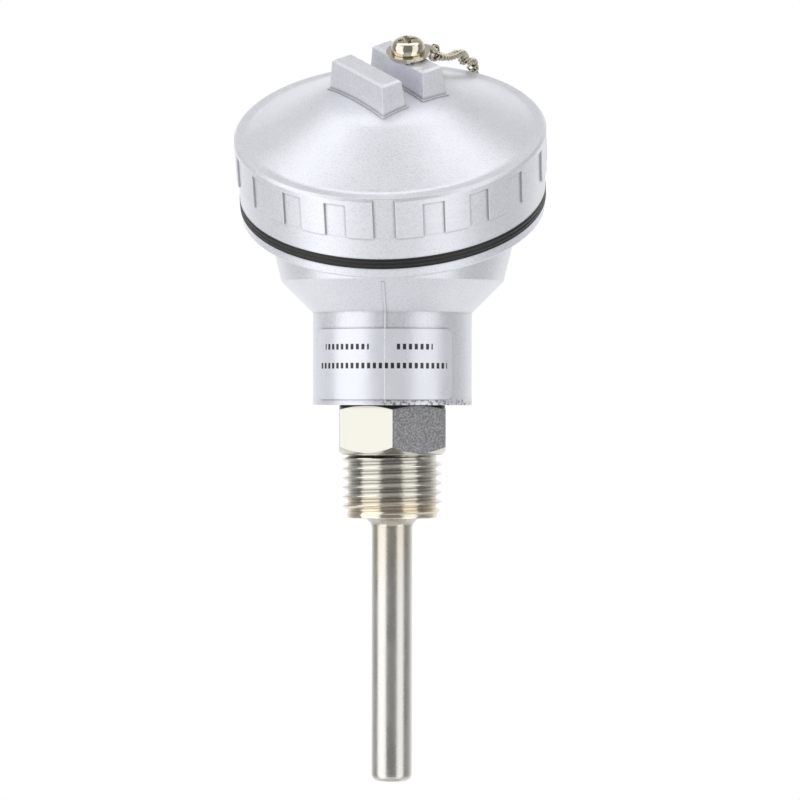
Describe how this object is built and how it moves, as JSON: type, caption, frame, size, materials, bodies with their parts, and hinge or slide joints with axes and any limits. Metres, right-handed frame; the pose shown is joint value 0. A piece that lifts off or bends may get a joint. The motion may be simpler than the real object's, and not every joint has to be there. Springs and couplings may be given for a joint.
{
  "type": "resistance temperature probe",
  "caption": "Short stem temperature probe with a hexagon process thread and a small leaning die-cast head, its domed screw cap held by a chain, cable gland behind.",
  "frame": {"origin": "on the stem axis, in the plane under the hexagon where the male process thread starts", "axes": "+Z along the stem towards the head; the cap leans towards -Y; the cable leaves towards +Y; +X to the right seen from the front"},
  "size_m": [0.05, 0.0642, 0.1194],
  "materials": {
    "cast": "satin die-cast, fine grain",
    "fitting_steel": "turned and milled",
    "weld": "welded, slightly tinted",
    "stem_steel": "drawn, satin",
    "ceramic_white": "matte",
    "resin": "potted",
    "lead_insulation": "smooth",
    "phenolic": "moulded",
    "brass_bar": "bare",
    "plated_screw": "zinc-plated",
    "nickel": "nickel-plated",
    "rubber_black": "smooth",
    "film": "clear film"
  },
  "bodies": {
    "head": {"head_housing": "cast", "process_fitting": "fitting_steel", "weld_bead": "weld", "sheath_tube": "stem_steel", "sensing_element": "ceramic_white", "insulator": "ceramic_white", "end_seal": "resin", "lead_wires": "lead_insulation", "terminal_block": "phenolic", "terminal_bars": "brass_bar", "clamp_washers": "plated_screw", "terminal_screws": "plated_screw", "block_screws": "plated_screw", "chain_links": "nickel", "anchor_lug": "nickel", "anchor_screw": "nickel", "gland_grommet": "rubber_black", "label_film": "film"},
    "seal": {"cap_gasket": "rubber_black"},
    "cap": {"screw_cap": "cast", "cap_washer": "nickel", "cap_lug": "nickel", "cap_screw": "nickel"},
    "gland_ring": {"gland_washer": "plated_screw"},
    "gland": {"gland_nut": "cast"}
  },
  "joints": [
    {"name": "cap_lift", "type": "slide", "parent": "head", "child": "seal", "axis": [0, -0.5, 0.866], "range_m": [0, 0.0045], "deforming": ["chain_links"]},
    {"name": "cap_spin", "type": "hinge", "parent": "seal", "child": "cap", "pos_m": [0, 0, 0.0433], "axis": [0, -0.5, 0.866], "range_deg": [0, 1080]},
    {"name": "gland_lift", "type": "slide", "parent": "head", "child": "gland_ring", "axis": [0, 1, 0], "range_m": [0, 0.0045]},
    {"name": "gland_spin", "type": "hinge", "parent": "gland_ring", "child": "gland", "pos_m": [0, 0.027, 0.0382], "axis": [0, 1, 0], "range_deg": [0, 1080]}
  ],
  "couplings": [
    {"joint": "cap_lift", "follows": "cap_spin", "m_per_rad": 0.00023873},
    {"joint": "gland_lift", "follows": "gland_spin", "m_per_rad": 0.00023873}
  ]
}
